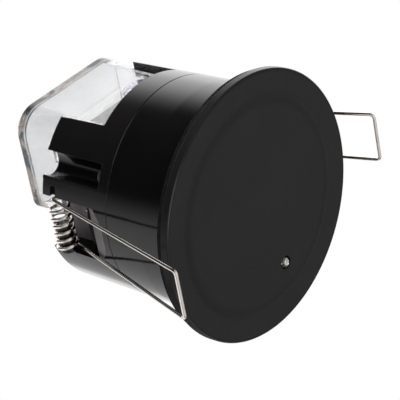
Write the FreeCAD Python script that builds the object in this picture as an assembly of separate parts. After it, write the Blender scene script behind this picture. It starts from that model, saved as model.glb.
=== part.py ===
import FreeCAD, Part
import math
import os

# Millimetres. Z runs from the front face (below the ceiling) to the rear (above it).
# The origin is the centre of the gasket's back, which lies against the ceiling.
# X points to one spring clip, Y to the cable side.

V = FreeCAD.Vector
ORIGIN = V(0, 0, 0)
UP = V(0, 0, 1)
GAP = 0.3                      # free space round parts that are dropped in
SNAP_GAP = 0.2                 # free space at snap joints

# The size that everything round follows
LAND_R = 31.85                 # true cylinder that passes through the ceiling cut-out

# Front cover
RIM_OVERHANG = 6.15
FACE_R = LAND_R + RIM_OVERHANG
RIM_FRONT = -4.2
RIM_BACK = -1.7
FACE_RISE = 0.25               # the middle stands proud of the rim by this
RISE_IN, RISE_OUT = FACE_R - 8.7, FACE_R - 6.6
FACE_EDGE = 0.45
FACE_PLATE = 2.5
COLLAR_WALL = 2.0
COLLAR_END = 2.0

# Indicator
LED_X, LED_Y = -6.23, -21.64
LED_R = 1.5
LED_HOLE_R = 1.9

# Gasket
GASKET_INSET = 0.8
GASKET_OUT = FACE_R - GASKET_INSET
GASKET_T = -RIM_BACK

# Round housing
LAND_END = 12.0
SEAM = 23.2
RING_END = 31.2
TAB_END = 47.4
TAPER = 1.0                    # the housing loses this much of its radius
REAR_R = LAND_R - TAPER
WALL = 1.9
SEAM_EDGE = 0.15
STEP_R = LAND_R - 2.55         # collar of the front half inside the rear half
LUG_RISE = 1.1                 # snap lugs of the collar above the seam

# Screw channels on the cable side
CH_ANGLE = 32.4
CH_INSET = 3.05
CH_RADIUS = LAND_R - CH_INSET
CH_R = 3.45
CH_WALL = 1.3
CH_END = 26.6

# Gate in the rear wall for the cable
GATE_X0, GATE_X1 = -14.3, 16.7

# Spring wells
WELL_HALF = 8.4
WELL_SILL = 30.2
RAMP_X, RAMP_Z = LAND_R - 0.45, 25.2
RAMP_RUN = 2.75
PANEL_X = LAND_R - 8.55
PANEL_T = 1.5
SLOT_Z, SLOT_R = 43.4, 1.0     # slot beside each coil for the end of its wire
SLOT_Y = 10.4
SLOT_DEPTH = 1.0

# Terminal chamber
DECK_TOP = 39.6
DECK_T = 1.6
PLATE_T = 1.9
CHAMBER_Y = -3.5
BASE_WALL_Y = 23.2
BASE_WALL_T = 1.8

# Terminal cover
COVER_X = 21.04
COVER_Y0, COVER_Y1 = -5.72, 25.41
COVER_END = 61.85
COVER_WALL = 2.0
COVER_PLATE = 1.8
COVER_R1, COVER_R0 = 7.25, 4.1
APRON_END = 31.4
APRON_X0, APRON_X1 = -13.4, 15.0
CABLE_X = -5.6
NOTCH_R, NOTCH_Z = 6.2, 36.0
BAY_FLOOR = 36.0
BAY_HALF = 5.0
BAY_Y0 = 9.0

# Spring clips
WIRE_R = 0.5
COIL_R = 2.8
COIL_X, COIL_Z = LAND_R - 1.85, 41.2
COIL_HALF = 7.27
COIL_END_ANGLE = 66.0
COIL_TURNS = 6
KNEE = 0.9
KNEE_R = 0.7
TIP_X, TIP_Z = FACE_R + 5.69, -12.2
TIP_BEND = 1.2
PEG_CLEAR = 0.08
PEG_END = 0.3                  # the peg reaches just past the middle of the coil
COIL_ARC = 60.0                # the coil is drawn in arcs of about this angle
KINK = 0.12

# Boards
BOARD_T = 1.6
ANTENNA_Z = COLLAR_END
CONTROL_Z = 11.0
CONTROL_R = LAND_R - 4.35
POWER_Z = 31.4
POWER_R = LAND_R - 3.45
STAKE_R = 1.0
STAKE_HEAD_R = 1.7
STAKE_HEAD_T = 0.8

# Terminals
POLES = 4
POLE_PITCH = 6.3
BLOCK_Y0, BLOCK_Y1 = -1.9, 8.0
BLOCK_H = 12.0
PIN_Y = 0.4

LEG_RUN, LEG_RISE = TIP_X - COIL_X, COIL_Z - TIP_Z
# slope of the lower leg, which leaves the coil along its tangent
LEG_ANGLE = math.degrees(math.atan2(LEG_RUN, LEG_RISE) + math.asin(COIL_R / math.hypot(LEG_RUN, LEG_RISE)))
COIL_SWEEP = COIL_TURNS * 360 + COIL_END_ANGLE + LEG_ANGLE
DRAFT = (LAND_R - REAR_R) / (TAB_END - LAND_END)
BORE_R = LAND_R - WALL
FACE_FRONT = RIM_FRONT - FACE_RISE
FACE_BACK = FACE_FRONT + FACE_PLATE
POWER_BACK = POWER_Z + BOARD_T
CONTROL_BACK = CONTROL_Z + BOARD_T
ANTENNA_BACK = ANTENNA_Z + BOARD_T
PLATE_Z = TAB_END - PLATE_T
DECK_Z = DECK_TOP - DECK_T


def body_r(z):
    """Outer radius of the housing at height z."""
    return LAND_R - DRAFT * max(0.0, z - LAND_END)


def inner_r(z):
    """Inner radius of the housing at height z."""
    return body_r(z) - WALL


def rod(r, z0, z1, x=0.0, y=0.0):
    return Part.makeCylinder(r, z1 - z0, V(x, y, z0), UP)


def cone(r0, r1, z0, z1, x=0.0, y=0.0):
    return Part.makeCone(r0, r1, z1 - z0, V(x, y, z0), UP)


def ring(r_out, r_in, z0, z1, x=0.0, y=0.0):
    return rod(r_out, z0, z1, x, y).cut(rod(r_in, z0 - 1, z1 + 1, x, y))


def block(x0, x1, y0, y1, z0, z1):
    return Part.makeBox(x1 - x0, y1 - y0, z1 - z0, V(x0, y0, z0))


def bar(r, start, end):
    """A round bar between two points."""
    way = end.sub(start)
    return Part.makeCylinder(r, way.Length, start, way)


def turned(points):
    """A solid of revolution from a closed outline of (radius, height) points.

    A point may be replaced by a list of four points, which is a smooth curve.
    """
    edges = []
    last = None
    first = None
    for item in points:
        if isinstance(item, list):
            poles = [V(r, 0, z) for r, z in item]
            curve = Part.BezierCurve()
            curve.setPoles(poles)
            if last is not None and last.distanceToPoint(poles[0]) > 1e-6:
                edges.append(Part.makeLine(last, poles[0]))
            edges.append(curve.toShape())
            last = poles[-1]
            first = first or poles[0]
        else:
            here = V(item[0], 0, item[1])
            if last is not None and last.distanceToPoint(here) > 1e-6:
                edges.append(Part.makeLine(last, here))
            last = here
            first = first or here
    if last.distanceToPoint(first) > 1e-6:
        edges.append(Part.makeLine(last, first))
    face = Part.Face(Part.Wire(edges))
    return face.revolve(ORIGIN, UP, 360)


def corner(r0, z0, r1, z1, r2, z2):
    """Four points of a smooth quarter bend whose corner is the middle point."""
    k = 0.5523
    a = (r0 + (r1 - r0) * k, z0 + (z1 - z0) * k)
    b = (r2 + (r1 - r2) * k, z2 + (z1 - z2) * k)
    return [(r0, z0), a, b, (r2, z2)]


def sector(r, z0, z1, a0, a1):
    """A wedge of a disc between two angles."""
    cut = Part.makeCylinder(r, z1 - z0, V(0, 0, z0), UP, a1 - a0)
    cut.rotate(ORIGIN, UP, a0)
    return cut


def rounded(x0, x1, y0, y1, z0, z1, r_low, r_high):
    """An upright block whose corners are rounded, r_low at y0 and r_high at y1."""
    s = math.sqrt(0.5)
    spots = [(x1, y0, r_low, -1, 1), (x1, y1, r_high, -1, -1), (x0, y1, r_high, 1, -1), (x0, y0, r_low, 1, 1)]
    edges = []
    ends = []
    for i, (x, y, r, sx, sy) in enumerate(spots):
        centre = V(x + sx * r, y + sy * r, z0)
        on_x = V(x, y + sy * r, z0)
        on_y = V(x + sx * r, y, z0)
        middle = V(centre.x - sx * r * s, centre.y - sy * r * s, z0)
        start, end = (on_y, on_x) if i % 2 == 0 else (on_x, on_y)
        edges.append(Part.Arc(start, middle, end).toShape())
        ends.append((start, end))
    for i in range(4):
        edges.append(Part.makeLine(ends[i][1], ends[(i + 1) % 4][0]))
    wire = Part.Wire(Part.__sortEdges__(edges))
    return Part.Face(wire).extrude(V(0, 0, z1 - z0))


def at_angle(shape, angle):
    copy = shape.copy()
    copy.rotate(ORIGIN, UP, angle)
    return copy


def join(shapes):
    whole = shapes[0]
    if len(shapes) > 1:
        whole = whole.fuse(shapes[1:])
    return whole.removeSplitter()


def channel_centres():
    a = math.radians(CH_ANGLE)
    x, y = CH_RADIUS * math.cos(a), CH_RADIUS * math.sin(a)
    return [(x, y, CH_ANGLE), (-x, y, 180 - CH_ANGLE)]


def pole_xs():
    return [(i - (POLES - 1) / 2) * POLE_PITCH for i in range(POLES)]


def control_stakes():
    r = CONTROL_R - 1.9
    return [(r * math.cos(math.radians(a)), r * math.sin(math.radians(a)), a) for a in (90, 210, 330)]


def power_stakes():
    """Posts that hold the power board: x, y and the height that they hang from."""
    return [(-15.0, -18.0, PLATE_Z), (15.0, -18.0, PLATE_Z), (9.5, 17.5, DECK_Z), (-18.0, 5.0, DECK_Z)]


def header_spots():
    return [(-18.0 + i * 2.54, (j - 1) * 2.54) for i in range(2) for j in range(3)]


def link_spots():
    return [((i - 1.5) * 2.54, 4.6) for i in range(4)]


def joint_spots():
    """Solder joints on the back of the power board."""
    relay_pins = [(-9.0, -17.0), (-9.0, -6.5), (5.0, -17.0), (5.0, -6.5), (-2.0, -6.5)]
    parts = [(-11.5, 11.25), (3.5, 11.25), (17.0, -8.5), (17.0, -3.5), (-22.5, -6.0), (-22.5, 0.0)]
    edge = [(27.0, -0.4), (26.5, -2.7), (26.9, 4.7), (11.2, 6.0), (16.2, 6.0)]
    return relay_pins + parts + edge


def front_bezel():
    waist = (RISE_IN + RISE_OUT) / 2
    outline = [
        (0, FACE_FRONT), (RISE_IN, FACE_FRONT),
        [(RISE_IN, FACE_FRONT), (waist, FACE_FRONT), (waist, RIM_FRONT), (RISE_OUT, RIM_FRONT)],
        corner(FACE_R - FACE_EDGE, RIM_FRONT, FACE_R, RIM_FRONT, FACE_R, RIM_FRONT + FACE_EDGE),
        (FACE_R, RIM_BACK - 0.2), (FACE_R - 0.2, RIM_BACK),
        (BORE_R - GAP, RIM_BACK), (BORE_R - GAP, COLLAR_END), (BORE_R - GAP - COLLAR_WALL, COLLAR_END),
        (BORE_R - GAP - COLLAR_WALL, FACE_BACK), (0, FACE_BACK)]
    body = turned(outline)
    barb = turned([(BORE_R - GAP - 0.5, 0.3), (BORE_R - GAP, 0.3), (BORE_R + 0.3, 0.7), (BORE_R + 0.3, 1.3),
                   (BORE_R - GAP - 0.5, 1.3)])
    barbs = [barb.common(sector(FACE_R, 0, 2, a - 6, a + 6)) for a in (45, 135, 225, 315)]
    body = join([body] + barbs)
    hole = rod(LED_HOLE_R, FACE_FRONT - 1, FACE_BACK + 1, LED_X, LED_Y)
    lead_in = cone(LED_HOLE_R + 0.25, LED_HOLE_R, FACE_FRONT, FACE_FRONT + 0.25, LED_X, LED_Y)
    return body.cut(hole).cut(lead_in)


def foam_gasket():
    return ring(GASKET_OUT, LAND_R + GAP, RIM_BACK, RIM_BACK + GASKET_T)


def boss_z0():
    return 12.6


def front_housing():
    z = SEAM - SEAM_EDGE
    step = STEP_R
    seat = BORE_R - 3.95
    shell = turned([
        (LAND_R, RIM_BACK), (LAND_R, LAND_END), (body_r(z), z), (body_r(SEAM) - SEAM_EDGE, SEAM),
        (step, SEAM), (step, SEAM + 2.6), (step - 0.2, SEAM + 2.8), (step - 1.4, SEAM + 2.8),
        (step - 1.4, SEAM - 2.2), (inner_r(18.4), 18.4), (BORE_R, LAND_END),
        (BORE_R, ANTENNA_BACK + 2.0), (seat, ANTENNA_BACK + 2.0), (seat, ANTENNA_BACK), (BORE_R, ANTENNA_BACK),
        (BORE_R, 1.6), (BORE_R + 0.6, 1.6), (BORE_R + 0.6, 0.1), (BORE_R, 0.1), (BORE_R, RIM_BACK)])
    solids = [shell]
    keep = rod(LAND_R - 0.4, 0, SEAM)
    for x, y, a in control_stakes():
        rib = block(CONTROL_R - 3.5, BORE_R + 0.45, -2.5, 2.5, ANTENNA_BACK, CONTROL_Z).common(keep)
        solids.append(at_angle(rib, a))
        solids.append(rod(STAKE_R, CONTROL_Z - 1, CONTROL_BACK + STAKE_HEAD_T, x, y))
        solids.append(cone(STAKE_HEAD_R, STAKE_HEAD_R - 0.5, CONTROL_BACK, CONTROL_BACK + STAKE_HEAD_T, x, y))
    for a in (-70, -110):
        z0 = SEAM + LUG_RISE
        lug = turned([(step - 0.4, z0), (step, z0), (step + 0.6, z0 + 0.3), (step + 0.6, z0 + 0.7), (step - 0.4, z0 + 1.3)])
        solids.append(lug.common(sector(FACE_R, z0 - 0.3, z0 + 1.7, a - 5, a + 5)))
    body = join(solids)
    for x, y, a in channel_centres():
        body = body.cut(rod(CH_R + CH_WALL + GAP, SEAM, SEAM + 4, x, y))
        boss = rod(3.3, boss_z0(), SEAM, x, y)
        foot = cone(1.8, 3.3, boss_z0() - 3.0, boss_z0(), x, y)
        body = join([body, boss.common(rod(body_r(SEAM) - SEAM_EDGE, 0, SEAM)), foot.common(rod(LAND_R - 0.85, 0, SEAM))])
        body = body.cut(rod(1.55, boss_z0() + 1.0, SEAM + 1, x, y))
    return body


def well_cut(side):
    """The space of one spring well: the ramp through the wall and the room behind it."""
    end = TAB_END + 2
    deep = RAMP_X - (end - RAMP_Z) / RAMP_RUN
    points = [V(RAMP_X, -WELL_HALF, RAMP_Z), V(40, -WELL_HALF, RAMP_Z), V(40, -WELL_HALF, end), V(deep, -WELL_HALF, end)]
    wire = Part.makePolygon(points + [points[0]])
    ramp = Part.Face(wire).extrude(V(0, 2 * WELL_HALF, 0))
    room = block(PANEL_X, 40, -WELL_HALF, WELL_HALF, WELL_SILL, end)
    cut = ramp.fuse(room)
    if side < 0:
        cut.rotate(ORIGIN, UP, 180)
    return cut


def rear_housing():
    lip = SEAM + SEAM_EDGE
    edge = 0.3
    shell = turned([
        (body_r(SEAM) - SEAM_EDGE, SEAM), (body_r(lip), lip),
        corner(body_r(TAB_END - edge), TAB_END - edge, body_r(TAB_END), TAB_END, body_r(TAB_END) - edge, TAB_END),
        (inner_r(TAB_END), TAB_END), (inner_r(SEAM), SEAM)])
    inside = cone(inner_r(SEAM) + 0.2, inner_r(TAB_END) + 0.2, SEAM, TAB_END)
    outside = cone(body_r(SEAM), body_r(TAB_END), SEAM, TAB_END)
    # the wall is cut away on the cable side, between two flat side walls
    gate = block(GATE_X0, GATE_X1, BASE_WALL_Y, 60, RING_END, TAB_END + 2)
    shell = shell.cut(gate)
    # plates
    wide = 40
    plate = block(-wide, wide, -wide, wide, PLATE_Z, TAB_END).common(inside)
    mouth_in = COVER_WALL + 0.24
    mouth = rounded(-COVER_X + mouth_in, COVER_X - mouth_in, CHAMBER_Y, BASE_WALL_Y, DECK_TOP, TAB_END + 1, 1.5,
                    COVER_R1 - mouth_in)
    plate = plate.cut(mouth)
    plate = plate.cut(block(APRON_X0 - GAP, APRON_X1 + GAP, BASE_WALL_Y - 4, wide, PLATE_Z - 1, TAB_END + 1))
    plate = plate.cut(gate)
    deck = block(-wide, wide, CHAMBER_Y - PANEL_T, BASE_WALL_Y, DECK_Z, DECK_TOP).common(inside)
    shelf = block(-wide, wide, BASE_WALL_Y - BASE_WALL_T, wide, RING_END - BASE_WALL_T, RING_END).common(inside)
    base_wall = block(-wide, wide, BASE_WALL_Y - BASE_WALL_T, BASE_WALL_Y, RING_END - BASE_WALL_T, DECK_TOP)
    base_wall = base_wall.common(inside)
    back_wall = block(-PANEL_X, PANEL_X, CHAMBER_Y - PANEL_T, CHAMBER_Y, DECK_Z, TAB_END)
    solids = [shell, plate, deck, shelf, base_wall, back_wall]
    for x in (GATE_X0 - PANEL_T, GATE_X1):
        side_wall = block(x, x + PANEL_T, BASE_WALL_Y - BASE_WALL_T, wide, RING_END - BASE_WALL_T, TAB_END)
        solids.append(side_wall.common(inside))
    # cable bay, a trough in the deck under the cable
    bay_x0, bay_x1 = CABLE_X - BAY_HALF, CABLE_X + BAY_HALF
    bay_box = block(bay_x0 - PANEL_T, bay_x1 + PANEL_T, BAY_Y0 - PANEL_T, BASE_WALL_Y, BAY_FLOOR - 1.4, DECK_TOP)
    solids.append(bay_box)
    # screw channel columns
    for x, y, a in channel_centres():
        solids.append(rod(CH_R + CH_WALL, SEAM, TAB_END, x, y).common(outside))
    # well panels and side walls; a peg on one side wall carries each coil
    wall_z = POWER_BACK + 0.6
    for side in (1, -1):
        x0, x1 = (PANEL_X - PANEL_T, PANEL_X) if side > 0 else (-PANEL_X, PANEL_X * -1 + PANEL_T)
        solids.append(block(x0, x1, -WELL_HALF - PANEL_T, WELL_HALF + PANEL_T, DECK_Z, TAB_END))
        for end in (1, -1):
            y0, y1 = (WELL_HALF, WELL_HALF + PANEL_T) if end > 0 else (-WELL_HALF - PANEL_T, -WELL_HALF)
            w0, w1 = (PANEL_X - PANEL_T, wide) if side > 0 else (-wide, PANEL_T - PANEL_X)
            solids.append(block(w0, w1, y0, y1, wall_z, TAB_END).common(inside))
    # posts for the power board
    for x, y, top in power_stakes():
        solids.append(rod(2.3, POWER_BACK, top + 0.5, x, y))
        solids.append(rod(STAKE_R, POWER_Z - STAKE_HEAD_T, POWER_BACK + 1, x, y))
        solids.append(cone(STAKE_HEAD_R - 0.5, STAKE_HEAD_R, POWER_Z - STAKE_HEAD_T, POWER_Z, x, y))
    # posts for the cable clamp
    for x in clamp_xs():
        solids.append(rod(3.0, DECK_Z - 3.0, CLAMP_Z, x, CLAMP_Y))
    body = join(solids)
    # cuts
    for side in (1, -1):
        body = body.cut(well_cut(side))
    pegs = []
    peg_r = COIL_R - WIRE_R - PEG_CLEAR
    for side in (1, -1):
        x = side * COIL_X
        root = V(x, -side * (WELL_HALF + 1.0), COIL_Z)
        start = V(x, -side * (COIL_HALF + WIRE_R + PEG_CLEAR), COIL_Z)
        tip = V(x, side * PEG_END, COIL_Z)
        pegs.append(bar(peg_r, start, tip))
        pegs.append(bar(peg_r, root, start).common(outside))
    body = join([body] + pegs)
    for x, y, a in channel_centres():
        slot = rod(CH_R, CH_END, TAB_END + 2, x, y)
        way_out = at_angle(block(CH_RADIUS, 45, -CH_R, CH_R, CH_END, TAB_END + 2), a)
        body = body.cut(slot.fuse(way_out))
        body = body.cut(rod(1.6, SEAM - 1, CH_END + 1, x, y))
    body = body.cut(block(bay_x0, bay_x1, BAY_Y0, BASE_WALL_Y - BASE_WALL_T, BAY_FLOOR, DECK_TOP + 1))
    throat = BAY_FLOOR + 3.85
    body = body.cut(Part.makeCylinder(3.85, 4, V(CABLE_X, BASE_WALL_Y - 3, throat), V(0, 1, 0)))
    body = body.cut(block(CABLE_X - 3.85, CABLE_X + 3.85, BASE_WALL_Y - 3, BASE_WALL_Y + 1, throat, DECK_TOP + 1))
    # slot beside each coil for the end of its wire
    slot = block(20, 40, WELL_HALF - 1, SLOT_Y, SLOT_Z - SLOT_R, SLOT_Z + SLOT_R)
    slot = slot.fuse(bar(SLOT_R, V(20, SLOT_Y, SLOT_Z), V(40, SLOT_Y, SLOT_Z)))
    outer = outside.cut(cone(body_r(SEAM) - SLOT_DEPTH, body_r(TAB_END) - SLOT_DEPTH, SEAM, TAB_END))
    for a in (0, 180):
        body = body.cut(at_angle(slot, a).common(outer))
    # groove for the two snap lugs of the front half
    z0 = SEAM + LUG_RISE
    for a in (-70, -110):
        groove = ring(STEP_R + 1.05, STEP_R - 1.3, z0 - 0.2, z0 + 1.5)
        groove = groove.common(sector(FACE_R, z0 - 0.3, z0 + 1.7, a - 7, a + 7))
        body = body.cut(groove)
    for x in clamp_xs():
        body = body.cut(rod(1.5, DECK_Z - 1.5, CLAMP_Z + 1, x, CLAMP_Y))
    for x in pole_xs():
        body = body.cut(block(x - 0.8, x + 0.8, PIN_Y - 0.7, PIN_Y + 0.7, DECK_Z - 1, DECK_TOP + 1))
    return body


CLAMP_Y = 14.75
CLAMP_Z = 41.0
CLAMP_HALF = 9.5
CLAMP_BAR_T = 3.0


def clamp_xs():
    return [CABLE_X - CLAMP_HALF, CABLE_X + CLAMP_HALF]


def terminal_cover():
    w = COVER_WALL
    outer = rounded(-COVER_X, COVER_X, COVER_Y0, COVER_Y1, TAB_END, COVER_END, COVER_R0, COVER_R1)
    rim = [e for e in outer.Edges if abs(e.BoundBox.ZMin - COVER_END) < 1e-4 and e.BoundBox.ZLength < 1e-4]
    outer = outer.makeFillet(0.35, rim)
    inner = rounded(-COVER_X + w, COVER_X - w, COVER_Y0 + w, COVER_Y1 - w, TAB_END - 1, COVER_END - COVER_PLATE,
                    COVER_R0 - w, COVER_R1 - w)
    box = outer.cut(inner)
    # long front wall that reaches down over the cable side, with an arched cable notch
    apron = block(APRON_X0, APRON_X1, COVER_Y1 - w, COVER_Y1, APRON_END, TAB_END + 1)
    box = join([box, apron])
    notch = Part.makeCylinder(NOTCH_R, 6, V(CABLE_X, COVER_Y1 - 4, NOTCH_Z), V(0, 1, 0))
    notch = notch.fuse(block(CABLE_X - NOTCH_R, CABLE_X + NOTCH_R, COVER_Y1 - 4, COVER_Y1 + 2, APRON_END - 1, NOTCH_Z))
    box = box.cut(notch)
    # two snap tongues that hook under the rear plate
    mouth_x = COVER_X - w - 0.24
    for side in (1, -1):
        tongue = block(mouth_x - 1.6, mouth_x - SNAP_GAP, 12.5, 17.0, PLATE_Z - 1.5, TAB_END + 2.5)
        arm = block(mouth_x - 1.6, COVER_X - w + 0.5, 12.5, 17.0, TAB_END + 0.2, TAB_END + 2.5)
        hook = block(mouth_x - 0.9, mouth_x + 0.5, 12.5, 17.0, PLATE_Z - 1.5, PLATE_Z - SNAP_GAP)
        tip = block(mouth_x - 3, mouth_x + 2, 12, 18, PLATE_Z - 3, PLATE_Z - 1.0)
        tip.rotate(V(mouth_x - 0.4, 0, PLATE_Z - 1.5), V(0, 1, 0), 35)
        part = join([tongue, arm, hook]).cut(tip)
        if side < 0:
            part = part.mirror(ORIGIN, V(1, 0, 0))
        box = join([box, part])
    return box


def bent_wire(points, radii):
    """Faces of a round wire through the points, bent with the given radii at the inner ones."""
    faces = []
    start = points[0]
    rim = Part.makeCircle(WIRE_R, start, points[1].sub(start))
    for i in range(1, len(points)):
        here = points[i]
        last = i == len(points) - 1
        into = here.sub(points[i - 1]).normalize()
        a = here
        if not last:
            out = points[i + 1].sub(here).normalize()
            turn = into.getAngle(out)
            reach = radii[i - 1] * math.tan(turn / 2)
            a = here.sub(into * reach)
        way = a.sub(start)
        if way.Length > 1e-4:
            faces.append(rim.extrude(way))
            rim = rim.translated(way)
        if not last:
            axis = into.cross(out).normalize()
            centre = a.add(axis.cross(into) * radii[i - 1])
            faces.append(rim.revolve(centre, axis, math.degrees(turn)))
            rim = rim.rotated(centre, axis, math.degrees(turn))
            start = here.add(out * reach)
    return faces


def coil_point(angle, r):
    """A point beside the coil's line; the angle is counted from its lower end."""
    a = math.radians(angle - LEG_ANGLE)
    y = -COIL_HALF + 2 * COIL_HALF * angle / COIL_SWEEP
    return V(COIL_X - r * math.cos(a), y, COIL_Z + r * math.sin(a))


def spring_clip():
    """The clip on the X side: a coil between two legs that meet in a bar below the face.

    The coil is a chain of slightly tilted arcs, each tangent to the next.
    """
    count = round(COIL_SWEEP / COIL_ARC)
    step = COIL_SWEEP / count
    r_corner = COIL_R / math.cos(math.radians(step / 2))
    corners = [coil_point((k + 0.5) * step, r_corner) for k in range(-1, count + 1)]
    turn = corners[1].sub(corners[0]).getAngle(corners[2].sub(corners[1]))
    r_arc = corners[1].sub(corners[0]).Length / 2 / math.tan(turn / 2)
    low = (corners[0] + corners[1]) * 0.5
    low = low + (corners[0] - corners[1]).normalize() * KINK
    high = (corners[-2] + corners[-1]) * 0.5
    high = high + (corners[-1] - corners[-2]).normalize() * KNEE
    tip = V(TIP_X, 0, TIP_Z)
    tip_low = V(TIP_X, -COIL_HALF, TIP_Z)
    tip_high = V(TIP_X, COIL_HALF, TIP_Z)
    points = [tip, tip_high, high] + corners[-2:0:-1] + [low, tip_low, tip]
    radii = [TIP_BEND, KNEE_R] + [r_arc] * count + [KNEE_R, TIP_BEND]
    shell = Part.makeShell(bent_wire(points, radii))
    shell.sewShape()
    solid = Part.Solid(shell)
    if solid.Volume < 0:
        solid.reverse()
    return solid


def spring_clip_left():
    return spring_clip()


def spring_clip_right():
    return at_angle(spring_clip(), 180)


def indicator_led():
    tip = FACE_FRONT + 0.15
    lens = Part.makeSphere(LED_R, V(LED_X, LED_Y, tip + LED_R))
    stem = rod(LED_R, tip + LED_R, 1.0, LED_X, LED_Y)
    flange = rod(LED_R + 0.4, 0.0, 1.0, LED_X, LED_Y)
    flat = block(LED_X + LED_R + 0.05, LED_X + 3, LED_Y - 3, LED_Y + 3, -0.5, 1.5)
    return join([lens, stem, flange]).cut(flat)


def led_leads():
    solids = []
    for s in (-1, 1):
        x = LED_X + s * 1.27
        lead = block(x - 0.25, x + 0.25, LED_Y - 0.25, LED_Y + 0.25, 1.0, ANTENNA_BACK + 1.2)
        joint = cone(0.95, 0.4, ANTENNA_BACK, ANTENNA_BACK + 0.9, x, LED_Y)
        solids.append(join([lead, joint]))
    return Part.makeCompound(solids)


def antenna_board():
    board = rod(BORE_R - 0.5, ANTENNA_Z, ANTENNA_BACK)
    for s in (-1, 1):
        board = board.cut(rod(0.5, 0, 10, LED_X + s * 1.27, LED_Y))
    for x, y in header_spots():
        board = board.cut(rod(0.55, 0, 10, x, y))
    return board


def antenna_patches():
    """Four flat radiators and the strips that feed them, on the front of the antenna board."""
    z0, z1 = ANTENNA_Z - 0.1, ANTENNA_Z
    solids = []
    for sx in (-1, 1):
        for sy in (-1, 1):
            solids.append(block(sx * 7.5 - 4.2, sx * 7.5 + 4.2, sy * 7.0 - 3.4, sy * 7.0 + 3.4, z0, z1))
        solids.append(block(sx * 7.5 - 0.4, sx * 7.5 + 0.4, -4.0, 4.0, z0, z1))
    solids.append(block(-7.9, 7.9, -0.4, 0.4, z0, z1))
    return join(solids)


def shield_can():
    z0, z1 = ANTENNA_BACK, ANTENNA_BACK + 3.4
    can = rounded(-11, 11, -9, 9, z0, z1, 1.2, 1.2)
    hollow = rounded(-10.6, 10.6, -8.6, 8.6, z0 - 1, z1 - 0.4, 0.8, 0.8)
    can = can.cut(hollow)
    for x in (-7.2, -3.6, 0.0, 3.6, 7.2):
        can = can.cut(rod(0.7, z0, z1 + 1, x, 0.0))
    return can


def control_board():
    board = rod(CONTROL_R, CONTROL_Z, CONTROL_BACK)
    for x, y, a in control_stakes():
        board = board.cut(rod(STAKE_R + 0.2, 0, 20, x, y))
    for x, y in header_spots() + link_spots():
        board = board.cut(rod(0.55, 0, 20, x, y))
    for x, y, a in channel_centres():
        board = board.cut(rod(3.3 + 0.6, 0, 20, x, y))
    return board


def microcontroller_chip():
    body = block(6.5, 13.5, -12, -5, CONTROL_BACK, CONTROL_BACK + 1.3)
    top = [e for e in body.Edges if e.BoundBox.ZMin > CONTROL_BACK + 1.2]
    body = body.makeChamfer(0.2, top)
    mark = rod(0.5, CONTROL_BACK + 1.2, CONTROL_BACK + 2, 7.6, -10.9)
    return body.cut(mark)


def pin(x, y, z0, z1, half=0.32):
    return block(x - half, x + half, y - half, y + half, z0, z1)


def header_pins():
    pins = [pin(x, y, ANTENNA_Z - 0.5, CONTROL_BACK + 1.0) for x, y in header_spots()]
    pins += [pin(x, y, CONTROL_Z - 1.2, POWER_BACK + 0.8) for x, y in link_spots()]
    return Part.makeCompound(pins)


def board_header():
    """Plastic strips that hold the pins, one between the front boards and one on the power board."""
    low = block(-18 - 1.27, -18 + 2.54 + 1.27, -3.81, 3.81, ANTENNA_BACK, CONTROL_Z)
    high = block(-5.08, 5.08, 4.6 - 1.27, 4.6 + 1.27, POWER_Z - 2.5, POWER_Z)
    for x, y in header_spots():
        low = low.cut(pin(x, y, 0, 20))
    for x, y in link_spots():
        high = high.cut(pin(x, y, 10, 40))
    return Part.makeCompound([low, high])


def power_board():
    board = rod(POWER_R, POWER_Z, POWER_BACK)
    board = board.cut(block(-40, 40, BASE_WALL_Y - BASE_WALL_T - GAP, 40, 20, 40))
    for x, y, a in channel_centres():
        board = board.cut(rod(CH_R + CH_WALL + 0.5, 20, 40, x, y))
    for x, y, top in power_stakes():
        board = board.cut(rod(STAKE_R + 0.2, 20, 40, x, y))
    for x, y in link_spots():
        board = board.cut(rod(0.55, 20, 40, x, y))
    for x in pole_xs():
        board = board.cut(rod(0.85, 20, 40, x, PIN_Y))
    return board


def solder_joints():
    solids = []
    for x, y in joint_spots():
        joint = cone(0.95, 0.35, POWER_BACK, POWER_BACK + 0.9, x, y)
        solids.append(join([joint, rod(0.3, POWER_BACK + 0.5, POWER_BACK + 1.3, x, y)]))
    return Part.makeCompound(solids)


def relay():
    body = rounded(-11.5, 7.5, -19.5, -4.0, POWER_Z - 15.0, POWER_Z - 0.5, 0.6, 0.6)
    feet = [rod(0.8, POWER_Z - 1, POWER_Z, x, y) for x in (-10.3, 6.3) for y in (-18.3, -5.2)]
    rim = [e for e in body.Edges if e.BoundBox.ZMax < POWER_Z - 14.9]
    return join([body.makeFillet(0.5, rim)] + feet)


def electrolytic_capacitor():
    z1 = POWER_Z
    z0 = z1 - 16.0
    r = 5.0
    can = turned([
        (0, z0 + 0.2), (r - 1.2, z0 + 0.2), (r - 0.9, z0), corner(r - 0.6, z0, r, z0, r, z0 + 0.6),
        (r, z1 - 2.6), (r - 0.4, z1 - 2.2), (r - 0.4, z1 - 1.8), (r, z1 - 1.4), (r, z1 - 0.3), (r - 0.3, z1), (0, z1)])
    vent = block(-3.2, 3.2, -0.2, 0.2, z0 - 1, z0 + 0.35)
    vent = vent.fuse(block(-0.2, 0.2, -3.2, 3.2, z0 - 1, z0 + 0.35))
    can = can.cut(vent)
    can.translate(V(17.0, -6.0, 0))
    return can


def film_capacitor():
    body = rounded(-13.0, 5.0, 7.3, 15.3, POWER_Z - 13.5, POWER_Z, 0.5, 0.5)
    rim = [e for e in body.Edges if e.BoundBox.ZMax < POWER_Z - 13.4]
    return body.makeFillet(0.4, rim)


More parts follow.
